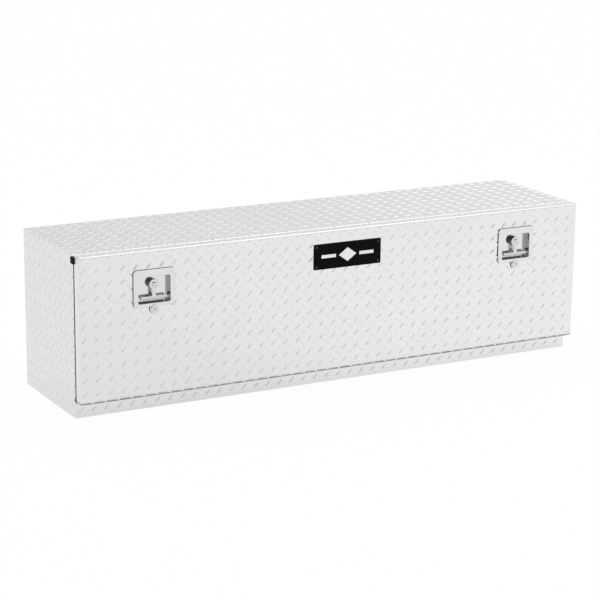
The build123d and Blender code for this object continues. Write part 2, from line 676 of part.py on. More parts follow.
def stay_bracket():
    """The left angle bracket behind the door's face that holds the stay's pin."""
    web_end = WEB_X + BRACKET_SHEET
    foot_back = SKIN_BACK + BRACKET_FOOT[1]
    foot_low, foot_high = PIN_Z - BRACKET_FOOT_HALF, PIN_Z + BRACKET_FOOT_HALF
    foot = block(WEB_X - BRACKET_FOOT[0], web_end, SKIN_BACK, foot_back, foot_low, foot_high)
    web_low, web_high = PIN_Z - BRACKET_WEB_HALF, PIN_Z + BRACKET_WEB_HALF
    web = block(WEB_X, web_end, SKIN_BACK, PIN_Y, web_low, web_high)
    web += rod_x(PIN_Y, PIN_Z, BRACKET_EYE_R, WEB_X, web_end)
    return foot + web - rod_x(PIN_Y, PIN_Z, STAY_PIN_R, WEB_X - 1, web_end + 1)


def stay_pin():
    """The left pin through the bracket and the arm's eye, headed at both ends."""
    head_r, head = STAY_PIN_HEAD
    start, end = WEB_X - head, ARM_X + ARM_HALF + ARM_SIDE_CLEAR + head
    pin = rod_x(PIN_Y, PIN_Z, STAY_PIN_R, start, end)
    pin += rod_x(PIN_Y, PIN_Z, head_r, start, start + head)
    return pin + rod_x(PIN_Y, PIN_Z, head_r, end - head, end)


save("top_panel", top_panel())
save("back_panel", block(-HALF + SHEET, HALF - SHEET, BACK - SHEET, BACK, SHEET, HEIGHT - SHEET))
save("floor_panel", floor_panel())
save_pair("end_panel", end_panel())
save("door_seal", *door_seal())
save_pair("seal_corner", seal_corner())
save_pair("seal_foot", seal_foot())
save("strike_plates", *strike_plates())
save_pair("stay_post", stay_post())

leaf_near = BARREL_R + LEAF_SETBACK
body_leaf_far = FRONT + LEDGE - LEAF_EDGE
door_leaf_far = DOOR_FACE + DOOR_BEND + LEAF_EDGE
save("hinge_body_leaf", hinge_leaf(0, HINGE_Y + leaf_near, body_leaf_far, BODY_RIVET_Y))
save("hinge_door_leaf", hinge_leaf(1, HINGE_Y - leaf_near, door_leaf_far, DOOR_RIVET_Y))
save("hinge_pin", hinge_pin())
save("hinge_body_rivets", *rivets_z(knuckle_centres(0), BODY_RIVET_Y, LEDGE_TOP - SHEET, DOOR_BOTTOM))
save("hinge_door_rivets", *rivets_z(knuckle_centres(1), DOOR_RIVET_Y, LEDGE_TOP, DOOR_BOTTOM + SHEET))

save("door_pan", door_pan())
save("door_lip", door_lip())
save("door_stiffener", door_stiffener())
save("badge_plate", badge_plate())
save("badge_rivets", *badge_rivets())
save_pair("stay_bracket", stay_bracket())
save_pair("stay_pin", stay_pin())
save_pair("stay_arm", stay_arm())

for name, make in (
    ("latch_plate", latch_plate),
    ("latch_gasket", latch_gasket),
    ("latch_frame", latch_frame),
    ("latch_rivets", latch_rivets),
    ("latch_bushing", latch_bushing),
    ("latch_hub", latch_hub),
    ("handle_pin", handle_pin),
    ("latch_cam", latch_cam),
    ("cam_nut", cam_nut),
    ("t_handle", t_handle),
    ("lock_barrel", lock_barrel),
    ("lock_nut", lock_nut),
    ("lock_plug", lock_plug),
    ("lock_tail", lock_tail),
    ("tail_nut", tail_nut),
):
    save_both(name, make)

print(f"hinge axis y {HINGE_Y:.3f} z {HINGE_Z:.3f}")
print(f"stay pin y {PIN_Y:.3f} z {PIN_Z:.3f}, post y {POST_Y:.3f} z {POST_Z:.3f}")
print(f"stay reach {REACH_SHUT:.2f} shut, {REACH_OPEN:.2f} open, tilt {STAY_TILT:.3f}")
print(f"latch pivot y {PIVOT_Y:.3f} z {HUB_Z:.3f}, lock z {LOCK_Z:.3f}, x {LATCH_X:.3f}")
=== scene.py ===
# %% [markdown]
# # A tread plate truck tool box
#
# The box was drawn in CAD first, so every sheet, hinge and latch already has its real size.
# This lesson loads that model as a fixed frame and gives it its looks: the finishes of the
# metals and the rubber, the raised lugs of the tread plate, the weld beads, the badge's
# emblem, and a plain studio.
# Everything is in metres, +Z is up, and the door faces -Y.

# %% Load the frame
import json
import math

import bpy
import numpy as np
from mathutils import Matrix, Vector


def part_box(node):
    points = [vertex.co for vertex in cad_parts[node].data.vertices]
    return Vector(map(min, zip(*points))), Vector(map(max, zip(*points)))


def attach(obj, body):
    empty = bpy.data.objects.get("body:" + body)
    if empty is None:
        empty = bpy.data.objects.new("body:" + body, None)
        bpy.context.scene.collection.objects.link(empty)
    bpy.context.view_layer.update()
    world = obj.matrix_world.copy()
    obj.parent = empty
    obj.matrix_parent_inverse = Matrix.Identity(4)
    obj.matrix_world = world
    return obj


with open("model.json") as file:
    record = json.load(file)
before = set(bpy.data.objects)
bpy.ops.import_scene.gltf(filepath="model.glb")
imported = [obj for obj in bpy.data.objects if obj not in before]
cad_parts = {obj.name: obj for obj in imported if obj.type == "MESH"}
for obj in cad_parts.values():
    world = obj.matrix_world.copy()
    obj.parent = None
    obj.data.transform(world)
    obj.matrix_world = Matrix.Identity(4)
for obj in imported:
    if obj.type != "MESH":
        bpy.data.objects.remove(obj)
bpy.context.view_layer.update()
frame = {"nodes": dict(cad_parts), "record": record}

MM = 0.001
nodes = frame["nodes"]

# %% [markdown]
# ## The camera and the studio
#
# The box is long and is seen from its left, a little from above, with a long lens, so its
# far end shrinks only slightly. The studio is pale all round. Bright metal shows only what
# it reflects, so the sky has one greyer patch, high on the camera's side: the slopes of the
# lugs that face it turn grey, and the pattern shows. The floor glows by itself, which keeps
# it white right up to the box and leaves only a faint shadow there.

# %% The camera
CAMERA_AZIMUTH = math.radians(-28.44)
CAMERA_ELEVATION = math.radians(14.69)
CAMERA_ROLL = math.radians(0.59)
CAMERA_DISTANCE = 5.6975
CAMERA_ASIDE = -0.01532
CAMERA_LIFT = -0.03422
LENS_MM = 122.75
AIM_HEIGHT = 0.2225
CLIP_FAR = 100.0

back = Vector((
    math.sin(CAMERA_AZIMUTH) * math.cos(CAMERA_ELEVATION),
    -math.cos(CAMERA_AZIMUTH) * math.cos(CAMERA_ELEVATION),
    math.sin(CAMERA_ELEVATION),
))
level = Vector((math.cos(CAMERA_AZIMUTH), math.sin(CAMERA_AZIMUTH), 0))
right = level * math.cos(CAMERA_ROLL) + back.cross(level) * math.sin(CAMERA_ROLL)
up = back.cross(right)
aim = Vector((0, 0, AIM_HEIGHT))
eye = aim + back * CAMERA_DISTANCE + right * CAMERA_ASIDE + up * CAMERA_LIFT
camera_data = bpy.data.cameras.new("camera")
camera_data.lens = LENS_MM
camera_data.clip_end = CLIP_FAR
camera = bpy.data.objects.new("camera", camera_data)
bpy.context.scene.collection.objects.link(camera)
camera.matrix_world = Matrix.Translation(eye) @ Matrix((right, up, back)).transposed().to_4x4()
bpy.context.scene.camera = camera
print("camera at", tuple(round(v, 3) for v in eye))

# %% [markdown]
# ## Shader maths as expressions
#
# A material is a small tree of nodes. Wiring a Math node for every plus and times hides the
# idea, so one class wraps a socket and lets it be added and multiplied like a number. Any
# other node comes from one method that takes the node's type, its settings and its inputs.

# %% Sockets that behave like numbers
class Value:
    """A socket of a shader tree, with arithmetic."""

    def __init__(self, shader, socket):
        self.shader = shader
        self.socket = socket

    def maths(self, operation, first, second):
        inputs = {0: first, 1: second}
        return self.shader.node("ShaderNodeMath", {"operation": operation}, inputs)

    def __add__(self, other):
        return self.maths("ADD", self, other)

    def __radd__(self, other):
        return self.maths("ADD", other, self)

    def __sub__(self, other):
        return self.maths("SUBTRACT", self, other)

    def __rsub__(self, other):
        return self.maths("SUBTRACT", other, self)

    def __mul__(self, other):
        return self.maths("MULTIPLY", self, other)

    def __rmul__(self, other):
        return self.maths("MULTIPLY", other, self)


class Shader:
    """The node tree of a new material or world."""

    def __init__(self, owner):
        self.owner = owner
        self.owner.use_nodes = True
        self.tree = self.owner.node_tree
        self.tree.nodes.clear()

    def node(self, kind, settings=None, inputs=None, output=0):
        """Add a node, set it up, fill or link its inputs, and return one of its outputs."""
        made = self.tree.nodes.new(kind)
        for name, setting in (settings or {}).items():
            setattr(made, name, setting)
        for name, value in (inputs or {}).items():
            if isinstance(value, Value):
                self.tree.links.new(value.socket, made.inputs[name])
            else:
                made.inputs[name].default_value = value
        return Value(self, made.outputs[output])

    def place(self, stretch=(1, 1, 1)):
        """Object coordinates, stretched by a factor along each axis."""
        coordinates = self.node("ShaderNodeTexCoord", output="Object")
        return self.node("ShaderNodeMapping", None, {"Vector": coordinates, "Scale": stretch})

    def along(self, axis, vector):
        """One coordinate of a vector: its "X", "Y" or "Z"."""
        return self.node("ShaderNodeSeparateXYZ", None, {0: vector}, axis)

    def ease(self, value, start, end, low, high):
        """Goes smoothly from low to high while the value goes from start to end."""
        settings = {"interpolation_type": "SMOOTHSTEP"}
        inputs = {"Value": value, "From Min": start, "From Max": end, "To Min": low, "To Max": high}
        return self.node("ShaderNodeMapRange", settings, inputs)

    def noise(self, scale, detail, rough, stretch=(1, 1, 1)):
        inputs = {"Vector": self.place(stretch), "Scale": scale, "Detail": detail, "Roughness": rough}
        return self.node("ShaderNodeTexNoise", None, inputs)

    def mix(self, amount, dark, light):
        """A colour between two colours."""
        settings = {"data_type": "RGBA"}
        return self.node("ShaderNodeMix", settings, {"Factor": amount, 6: dark, 7: light}, 2)

    def bump(self, height, distance):
        return self.node("ShaderNodeBump", None, {"Height": height, "Distance": distance})

    def surface(self, **sockets):
        """The one shader of the material. A double underscore stands for a space in a name."""
        inputs = {name.replace("__", " "): value for name, value in sockets.items()}
        return self.finish(self.node("ShaderNodeBsdfPrincipled", None, inputs))

    def finish(self, last, kind="ShaderNodeOutputMaterial"):
        """Link the last shader to an output node, and return the finished material or world."""
        output = self.tree.nodes.new(kind)
        self.tree.links.new(last.socket, output.inputs["Surface"])
        return self.owner


def grey(level, tint=0.0):
    """A neutral colour, a little cooler with a positive tint."""
    return (level - tint, level, level + tint, 1.0)


print("shader helpers ready")

# %% [markdown]
# ## The floor and the light
#
# The floor is far larger than the box, so that every view ends on it. The box is bright
# metal, and is drawn by what it reflects. So in reflections the floor is a quarter matt white
# paper and three quarters glow, which fills the shade under the door as a studio's fill light
# would. Seen directly it is nearly all glow, and keeps only a trace of the box's shadow. A
# Light Path node tells the two apart.

# %% The floor
FLOOR_HALF = 60.0
FLOOR_PALENESS = 0.9
SHADOW_KEPT = 0.04
FLOOR_FILL = 0.75
FLOOR_GLOW = 1.02
GLOW_RIGHT = 0.12              # how much more it glows at the box's right, in reflections
GLOW_SPREAD = 0.5              # the glow rises over this much on either side of the middle


def floor_finish():
    """Matt white with a fill glow in reflections; nearly all glow when seen directly."""
    shader = Shader(bpy.data.materials.new("studio_floor"))
    matt = shader.node("ShaderNodeBsdfDiffuse", None, {"Color": grey(FLOOR_PALENESS)})
    seen = shader.node("ShaderNodeLightPath")
    across = shader.along("X", shader.place())
    rise = shader.ease(across, -GLOW_SPREAD, GLOW_SPREAD, FLOOR_GLOW, FLOOR_GLOW + GLOW_RIGHT)
    strength = seen + (1.0 - seen) * rise
    glow = shader.node("ShaderNodeEmission", None, {"Color": grey(1.0), "Strength": strength})
    share = (1.0 - SHADOW_KEPT - FLOOR_FILL) * seen + FLOOR_FILL
    return shader.finish(shader.node("ShaderNodeMixShader", None, {0: share, 1: matt, 2: glow}))


bpy.ops.mesh.primitive_plane_add(size=2 * FLOOR_HALF, location=(0, 0, 0))
floor = bpy.context.object
floor.name = "studio_floor"
floor.data.materials.append(floor_finish())
print("floor", 2 * FLOOR_HALF, "m across")

# %% The world
SKY_HORIZON = 0.8
SKY_RIGHT = 0.13
RIGHT_FROM = 0.25
RIGHT_TO = 0.75
SKY_OVERHEAD = 0.36
OVERHEAD_FROM = 0.4
OVERHEAD_TO = 0.8
DARK_SIDE = (-0.3, -0.85, 0.42)
DARK_FROM = 0.78
DARK_TO = 0.97
DARK_LEVEL = 0.79


def studio_world():
    """A pale room: lighter overhead and to the right, greyer high on the camera's side."""
    sky = Shader(bpy.data.worlds.new("studio"))
    direction = sky.node("ShaderNodeTexCoord", output="Generated")
    facing = {}
    for name, toward in (("up", (0, 0, 1)), ("right", (1, 0, 0)), ("dark", DARK_SIDE)):
        dot = {0: direction, 1: Vector(toward).normalized()}
        facing[name] = sky.node("ShaderNodeVectorMath", {"operation": "DOT_PRODUCT"}, dot, "Value")
    overhead = sky.ease(facing["up"], OVERHEAD_FROM, OVERHEAD_TO, 0.0, SKY_OVERHEAD)
    beside = sky.ease(facing["right"], RIGHT_FROM, RIGHT_TO, 0.0, SKY_RIGHT)
    gloom = sky.ease(facing["dark"], DARK_FROM, DARK_TO, 1.0, DARK_LEVEL)
    level = (SKY_HORIZON + beside + overhead) * gloom
    glow = sky.node("ShaderNodeBackground", None, {"Color": grey(1.0), "Strength": level})
    return sky.finish(glow, "ShaderNodeOutputWorld")


bpy.context.scene.world = studio_world()
bpy.context.scene.view_settings.view_transform = "Standard"
bpy.context.scene.view_settings.look = "None"
print("world: pale, lighter above and to the right, greyer high on the camera's side")


# %% The lamp
PANEL_PLACE = Vector((1.2, 0.2, 2.6))
PANEL_AIM = Vector((0.6, -0.4, 0))
PANEL_SIZE = 2.4
PANEL_WATTS = 9

panel_light = bpy.data.lights.new("overhead_panel", "AREA")
panel_light.shape = "SQUARE"
panel_light.size = PANEL_SIZE
panel_light.energy = PANEL_WATTS
lamp = bpy.data.objects.new("overhead_panel", panel_light)
bpy.context.scene.collection.objects.link(lamp)
lamp.location = PANEL_PLACE
lamp.rotation_mode = "QUATERNION"
lamp.rotation_quaternion = (PANEL_AIM - PANEL_PLACE).to_track_quat("-Z", "Y")
print("lamp:", lamp.name, PANEL_SIZE, "m square,", PANEL_WATTS, "watts")

# %% [markdown]
# ## The metals
#
# Tread plate is rolled, so its flat ground has a fine grain along the sheet, soft clouds
# where the rolls and the wrapping rubbed it, and a very slight waviness that bends its
# reflections. Each of those is a noise at its own scale: long thin noise for the grain,
# a large one for the clouds, a middle one for the waves and a small one for scuffs. They show
# mostly in roughness and bump, because bright metal has almost no colour of its own. Along
# the door's lowest fold the door's sheet carries a painted shade, darker in blotches.

# %% The tread plate's ground
GRAIN_DRAWN = 0.03                    # pattern scale along the grain: the smaller, the longer
GRAIN_DEEP = 0.02 * MM
LUG_GRAIN_DEEP = 0.006 * MM
# painted shade along the door's lowest fold: its dark grey, and how far up it fades out
FOLD_SHADE = 0.12
FOLD_SHADE_TALL = 9.5 * MM


def rolled_metal(name, along, ground, rough, grain=GRAIN_DEEP, fold_shade_from=None):
    """Bright sheet, its grain along axis 0, 1 or 2, with a painted shade in blotches just above the
    given fold height.
    """
    shader = Shader(bpy.data.materials.new(name))
    stretch = [1.0, 1.0, 1.0]
    stretch[along] = GRAIN_DRAWN
    lines = shader.noise(900.0, 4.0, 0.6, stretch)
    clouds = shader.noise(3.2, 3.0, 0.55)
    waves = shader.noise(11.0, 1.5, 0.4)
    scuffs = shader.noise(70.0, 5.0, 0.7)
    darkest = grey(ground - 0.06, 0.002)
    lightest = grey(ground + 0.04, 0.004)
    colour = shader.mix(0.55 * clouds + 0.35 * lines, darkest, lightest)
    # painted shade: just above the given height the colour darkens towards a dark grey in blotches,
    # standing in for the shade under the door's edge
    if fold_shade_from is not None:
        upward = shader.along("Z", shader.place())
        fold_shade = shader.ease(upward, fold_shade_from, fold_shade_from + FOLD_SHADE_TALL, 1.0, 0.0)
        shade_blotches = shader.noise(45.0, 2.0, 0.5)
        colour = shader.mix(fold_shade * (0.5 + 1.0 * shade_blotches), colour, grey(FOLD_SHADE))
    height = 0.5 * lines + 5.0 * waves + 0.3 * scuffs
    return shader.surface(
        Base__Color=colour,
        Metallic=1.0,
        Roughness=rough - 0.07 + 0.1 * clouds + 0.08 * scuffs,
        Normal=shader.bump(height, grain),
    )


tread_long = rolled_metal("tread_plate", 0, 0.77, 0.27)
# the door's sheet carries the painted shade along its lowest fold
tread_door = rolled_metal("tread_plate_door", 0, 0.77, 0.27, fold_shade_from=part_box("door_pan")[0].z)
tread_end = rolled_metal("tread_plate_ends", 1, 0.77, 0.27)
lug_metal = rolled_metal("tread_lugs", 0, 0.8, 0.16, LUG_GRAIN_DEEP)
mill_sheet = rolled_metal("mill_sheet", 0, 0.72, 0.33)
weld_metal = rolled_metal("weld_metal", 1, 0.6, 0.38)
print("rolled metals:", tread_long.name, tread_door.name, tread_end.name, mill_sheet.name)
print("lugs and welds:", lug_metal.name, weld_metal.name)

# %% [markdown]
# ### Stainless, plated and bearing metals
#
# The latch plates are polished stainless: nearly a mirror, with hairline brushing that only
# shows in its highlights. The walls of the pressed recess carry a painted shade, a darker
# grey in their colour, and the rim of the hub a near-black painted reflection; this draws the
# recess. Zinc plating is duller and slightly blue, with a crystalline mottle.

# %% Polished, plated and bearing metals
WALL_UNTIL = 0.2                      # below this a face is a wall, by its squared normal along Y
FACE_FROM = 0.85                      # above this it faces the front or the back
POLISH_DEEP = 0.004 * MM
LATCH_STEEL = (0.72, 0.722, 0.725)


def polished_metal(name, colour, rough, mottle_scale, mottle, wall_shade=None):
    """Plated or polished metal. Where a wall grey is given, the faces that run along Y get that grey as
    painted shade.
    """
    shader = Shader(bpy.data.materials.new(name))
    hairlines = shader.noise(1400.0, 3.0, 0.6, (0.04, 1, 1))
    spots = shader.noise(mottle_scale, 4.0, 0.6)
    darker = tuple(channel * (1 - mottle) for channel in colour) + (1.0,)
    tone = shader.mix(spots, darker, colour + (1.0,))
    # painted shade: faces whose normal lies across Y take the given dark grey in place of the metal's
    # tone
    if wall_shade is not None:
        facing = shader.along("Y", shader.node("ShaderNodeTexCoord", output="Normal"))
        unshaded_face = shader.ease(facing * facing, WALL_UNTIL, FACE_FROM, 0.0, 1.0)
        tone = shader.mix(unshaded_face, grey(wall_shade), tone)
    return shader.surface(
        Base__Color=tone,
        Metallic=1.0,
        Roughness=rough + 0.08 * spots + 0.05 * hairlines,
        Normal=shader.bump(hairlines + 0.6 * spots, POLISH_DEEP),
    )


stainless = polished_metal("polished_stainless", LATCH_STEEL, 0.05, 40.0, 0.08)
bright_steel = polished_metal("bright_steel", (0.66, 0.66, 0.67), 0.03, 60.0, 0.05)
# the recess walls get a painted shade; the hub's rim gets a near-black painted reflection
recess_steel = polished_metal("latch_plate_steel", LATCH_STEEL, 0.05, 40.0, 0.08, wall_shade=0.36)
hub_steel = polished_metal("latch_hub_steel", (0.68, 0.68, 0.69), 0.05, 40.0, 0.08, wall_shade=0.06)
zinc_plate = polished_metal("zinc_plate", (0.6, 0.62, 0.66), 0.28, 160.0, 0.2)
bronze = polished_metal("bearing_bronze", (0.55, 0.37, 0.19), 0.3, 220.0, 0.3)
print("polished:", stainless.name, bright_steel.name, recess_steel.name, hub_steel.name)
print("plated and bearing:", zinc_plate.name, bronze.name)

# %% [markdown]
# ### Rubber and enamel
#
# The seal is sponge rubber: black, dull, with a skin of fine pores. The badge is black
# enamel with a soft, weak sheen and a few handling marks. The emblem on it is pale enamel,
# and its rivets are coated in near black.

# %% Rubber, enamel and coated rivets
PORE_SCALE = 900.0
PORE_DEEP = 0.1 * MM
SKIN_DEEP = 0.01 * MM


def sponge_rubber():
    """Black and dull, with fine pores and a faint bloom."""
    shader = Shader(bpy.data.materials.new("sponge_rubber"))
    pores = shader.node("ShaderNodeTexVoronoi", None, {"Vector": shader.place(), "Scale": PORE_SCALE})
    bloom = shader.noise(25.0, 4.0, 0.6)
    return shader.surface(
        Base__Color=shader.mix(bloom, grey(0.006), grey(0.014)),
        Roughness=0.8 + 0.15 * bloom,
        Specular__IOR__Level=0.15,
        Normal=shader.bump(pores + 0.5 * bloom, PORE_DEEP),
    )


def enamel(name, colour, lighter, rough):
    """A smooth coat, lighter and rougher where it was handled."""
    shader = Shader(bpy.data.materials.new(name))
    marks = shader.noise(35.0, 5.0, 0.65)
    skin = shader.noise(260.0, 2.0, 0.5)
    return shader.surface(
        Base__Color=shader.mix(marks, colour, lighter),
        Roughness=rough + 0.12 * marks,
        Specular__IOR__Level=0.05,
        Normal=shader.bump(skin, SKIN_DEEP),
    )


rubber = sponge_rubber()
black_enamel = enamel("black_enamel", grey(0.001), grey(0.003), 0.25)
pale_enamel = enamel("pale_enamel", grey(0.78), grey(0.86), 0.3)
coated_steel = enamel("black_coated_steel", grey(0.03), grey(0.06), 0.35)
print("dark finishes:", rubber.name, black_enamel.name, coated_steel.name)
print("pale finish:", pale_enamel.name)

# %% [markdown]
# ## Finishes for the CAD pieces
#
# The frame says which material slot each CAD node belongs to. Each slot has one finish. Some
# pieces differ from their slot: the end panels, whose grain runs front to back, the door's
# sheet with a painted shade along its lowest fold, and the latch plates and hubs, whose walls
# carry painted shade, near black on the hubs.

# %% Give every CAD node its finish
SLOT_FINISHES = {
    "tread_aluminium": tread_long,
    "plain_aluminium": mill_sheet,
    "rubber": rubber,
    "stainless": stainless,
    "bright_stainless": bright_steel,
    "zinc_steel": zinc_plate,
    "bronze": bronze,
    "black_enamel": black_enamel,
    "dark_rivet": coated_steel,
}
OWN_FINISHES = {
    "end_panel": tread_end,
    "door_pan": tread_door,
    "latch_plate": recess_steel,
    "latch_hub": hub_steel,
}
for subpart in frame["record"]["subparts"]:
    node = nodes[subpart["node"]]
    finish = SLOT_FINISHES[subpart["material_slot"]]
    for start_of_name, own_finish in OWN_FINISHES.items():
        if subpart["node"].startswith(start_of_name):
            finish = own_finish
    node.data.materials.clear()
    node.data.materials.append(finish)
print("finished", len(nodes), "CAD nodes")

# %% [markdown]
# ## The lugs of the tread plate
#
# Tread plate has rows of raised lugs on a square lattice. One set leans one way, the other
# set leans the other way and sits half a pitch between them. Bump mapping could fake them,
# but their outline shows along every edge of the box, so they are real: one lug is modelled
# from a cylinder, paired with a copy turned the other way, and two Array modifiers lay out a
# whole panel. The field is then trimmed at the panel's edges, as the shear trims real sheet.

# %% One lug
LUG_COLUMNS = 42.2
PITCH = (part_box("top_panel")[1].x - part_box("top_panel")[0].x) / LUG_COLUMNS
LUG_LONG = 24.5 * MM
LUG_WIDE = 6.2 * MM
LUG_TALL = 1.1 * MM
LUG_SUNK = 0.4 * MM
LUG_SIDES = 10
LUG_LEVELS = ((0.35, 0.85), (0.38, 0.62), (0.27, 0.35))    # share of the height, width kept
LUG_TAPER = 0.45                      # its length shrinks by this share of what its width does
LUG_LEAN = math.radians(45)
FACING_UP = 0.9


def only(piece):
    """Make a piece the one selected and active object."""
    bpy.ops.object.select_all(action="DESELECT")
    piece.select_set(True)
    bpy.context.view_layer.objects.active = piece


def select_faces(piece, wanted):
    """In edit mode, select the faces that a test accepts."""
    bpy.ops.mesh.select_all(action="DESELECT")
    bpy.ops.object.mode_set(mode="OBJECT")
    for face in piece.data.polygons:
        face.select = wanted(face)
    bpy.ops.object.mode_set(mode="EDIT")
    bpy.context.tool_settings.mesh_select_mode = (False, False, True)


def model_lug():
    """A low boat-shaped bump on the XY plane, pointing along X."""
    bpy.ops.object.select_all(action="DESELECT")
    bpy.ops.mesh.primitive_cylinder_add(
        vertices=LUG_SIDES, radius=0.5, depth=LUG_SUNK, location=(0, 0, -LUG_SUNK / 2),
    )
    lug = bpy.context.object
    bpy.ops.object.mode_set(mode="EDIT")
    bpy.ops.transform.resize(value=(LUG_LONG, LUG_WIDE, 1))
    for rise, narrow in LUG_LEVELS:
        select_faces(lug, lambda face: face.normal.z > FACING_UP)
        bpy.ops.mesh.extrude_region_move(TRANSFORM_OT_translate={"value": (0, 0, rise * LUG_TALL)})
        bpy.ops.transform.resize(value=(1 - LUG_TAPER + LUG_TAPER * narrow, narrow, 1))
    bpy.ops.object.mode_set(mode="OBJECT")
    return lug


def lug_pair():
    """A lug that leans one way, and half a pitch away one that leans the other way."""
    first = model_lug()
    second = first.copy()
    second.data = first.data.copy()
    bpy.context.scene.collection.objects.link(second)
    first.data.transform(Matrix.Rotation(LUG_LEAN, 4, "Z"))
    shift = Matrix.Translation((PITCH / 2, PITCH / 2, 0))
    second.data.transform(shift @ Matrix.Rotation(-LUG_LEAN, 4, "Z"))
    only(first)
    second.select_set(True)
    bpy.ops.object.join()
    first.location = (0, 0, 0)
    return first


pair = lug_pair()
pair.name = "lug_pair"
LUG_POINTS = len(pair.data.vertices) // 2
print("one lug:", LUG_POINTS, "points,", len(pair.data.polygons) // 2, "faces")

# %% [markdown]
# A field is laid out flat, with X along the panel and Y up it, then moved onto the panel in
# one step. Lugs whose middle lies under a latch plate or the badge are left out: the plate
# covers them. The trimming uses bisect, which also closes each cut lug.

# %% Lay out one panel
SPARE_LUGS = 3                        # extra rows each way, so that the panel is surely filled
SMOOTH_BELOW = math.radians(50)


def lug_field(name, body, finish, corner, across, upward, size, start, covered=()):
    """Lugs over a panel from its corner; start is the first lug's place in pitches."""
    field = pair.copy()
    field.data = pair.data.copy()
    field.name = name
    bpy.context.scene.collection.objects.link(field)
    field.data.transform(Matrix.Translation(((start[0] - 1) * PITCH, (start[1] - 1) * PITCH, 0)))
    only(field)
    for axis in (0, 1):
        array = field.modifiers.new("array", "ARRAY")
        array.use_relative_offset = False
        array.use_constant_offset = True
        array.constant_offset_displace = [PITCH if i == axis else 0 for i in range(3)]
        array.count = int(size[axis] / PITCH) + SPARE_LUGS
        bpy.ops.object.modifier_apply(modifier=array.name)
    points = np.array([point.co for point in field.data.vertices])
    middles = points.reshape(-1, LUG_POINTS, 3).mean(axis=1)
    reach = LUG_LONG / 2
    gone = (middles[:, 0] < -reach) | (middles[:, 0] > size[0] + reach)
    gone |= (middles[:, 1] < -reach) | (middles[:, 1] > size[1] + reach)
    for low_x, high_x, low_y, high_y in covered:
        inside = (middles[:, 0] > low_x) & (middles[:, 0] < high_x)
        gone |= inside & (middles[:, 1] > low_y) & (middles[:, 1] < high_y)
    picked = np.repeat(gone, LUG_POINTS)
    bpy.ops.object.mode_set(mode="EDIT")
    bpy.context.tool_settings.mesh_select_mode = (True, False, False)
    bpy.ops.mesh.select_all(action="DESELECT")
    bpy.ops.object.mode_set(mode="OBJECT")
    field.data.vertices.foreach_set("select", picked)
    bpy.ops.object.mode_set(mode="EDIT")
    bpy.ops.mesh.delete(type="VERT")
    cuts = (
        ((0, 0, 0), (-1, 0, 0)),
        ((size[0], 0, 0), (1, 0, 0)),
        ((0, 0, 0), (0, -1, 0)),
        ((0, size[1], 0), (0, 1, 0)),
    )
    for place, outward in cuts:
        bpy.ops.mesh.select_all(action="SELECT")
        bpy.ops.mesh.bisect(plane_co=place, plane_no=outward, use_fill=True, clear_outer=True)
    bpy.ops.object.mode_set(mode="OBJECT")
    outward = Vector(across).cross(Vector(upward))
    turn = Matrix((across, upward, outward)).transposed().to_4x4()
    field.data.transform(Matrix.Translation(corner) @ turn)
    bpy.ops.object.shade_smooth_by_angle(angle=SMOOTH_BELOW)
    field.data.materials.clear()
    field.data.materials.append(finish)
    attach(field, body)
    print(name, "lugs:", int((~gone).sum()), "faces:", len(field.data.polygons))


# %% Tread on the door
EDGE = 3.4 * MM                       # left bare along most folds
RIM_GAP = 0.5 * MM                    # left bare at the back of the door's rim
LATCH_PLATE_TALL = 98 * MM
top_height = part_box("top_panel")[1].z
door_low, door_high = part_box("door_pan")
case_low = Vector((door_low.x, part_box("top_panel")[0].y, 0))
case_high = Vector((door_high.x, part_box("back_panel")[1].y, top_height))
length = door_high.x - door_low.x


def covered_by(node, corner):
    """The part of the door's face that a plate covers, measured from a corner of the face."""
    low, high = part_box(node)
    return (low.x - corner.x, high.x - corner.x, low.z - corner.z, high.z - corner.z)


def latch_cover(side, corner):
    """The plate's own height leaves out the lobe round the lock."""
    low_x, high_x, low_z, high_z = covered_by(f"latch_plate_{side}", corner)
    return (low_x, high_x, high_z - LATCH_PLATE_TALL, high_z)


face_corner = Vector((door_low.x + EDGE, door_low.y, door_low.z + EDGE))
face_size = (length - 2 * EDGE, door_high.z - door_low.z - 2 * EDGE)
plates = [latch_cover(side, face_corner) for side in ("left", "right")]
plates.append(covered_by("badge_plate", face_corner))
lug_field(
    "door_lugs", "door", lug_metal, face_corner, (1, 0, 0), (0, 0, 1),
    face_size, (0.25, 0.6), plates,
)
rim_corner = Vector((door_low.x + EDGE, door_low.y + EDGE, door_high.z))
rim_size = (length - 2 * EDGE, door_high.y - door_low.y - EDGE - RIM_GAP)
lug_field(
    "door_rim_lugs", "door", lug_metal, rim_corner, (1, 0, 0), (0, 1, 0),
    rim_size, (0.25, 0.35),
)

# %% Tread on the case
SILL_GAP = 1.5 * MM                   # left bare along the sill's lower fold
depth = case_high.y - case_low.y
top_corner = Vector((case_low.x + EDGE, case_low.y + EDGE, top_height))
lug_field(
    "top_lugs", "case", lug_metal, top_corner, (1, 0, 0), (0, 1, 0),
    (length - 2 * EDGE, depth - 2 * EDGE), (0.25, 0.5),
)
lug_field(
    "left_end_lugs", "case", lug_metal, Vector((case_low.x, case_high.y - EDGE, EDGE)),
    (0, -1, 0), (0, 0, 1),
    (depth - 2 * EDGE, top_height - 2 * EDGE), (0.4, 0.3),
)
lug_field(
    "right_end_lugs", "case", lug_metal, Vector((case_high.x, case_low.y + EDGE, EDGE)),
    (0, 1, 0), (0, 0, 1),
    (depth - 2 * EDGE, top_height - 2 * EDGE), (0.4, 0.3),
)
lug_field(
    "back_lugs", "case", lug_metal, Vector((case_high.x - EDGE, case_high.y, EDGE)),
    (-1, 0, 0), (0, 0, 1),
    (length - 2 * EDGE, top_height - 2 * EDGE), (0.3, 0.45),
)
sill_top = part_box("hinge_body_leaf")[0].z
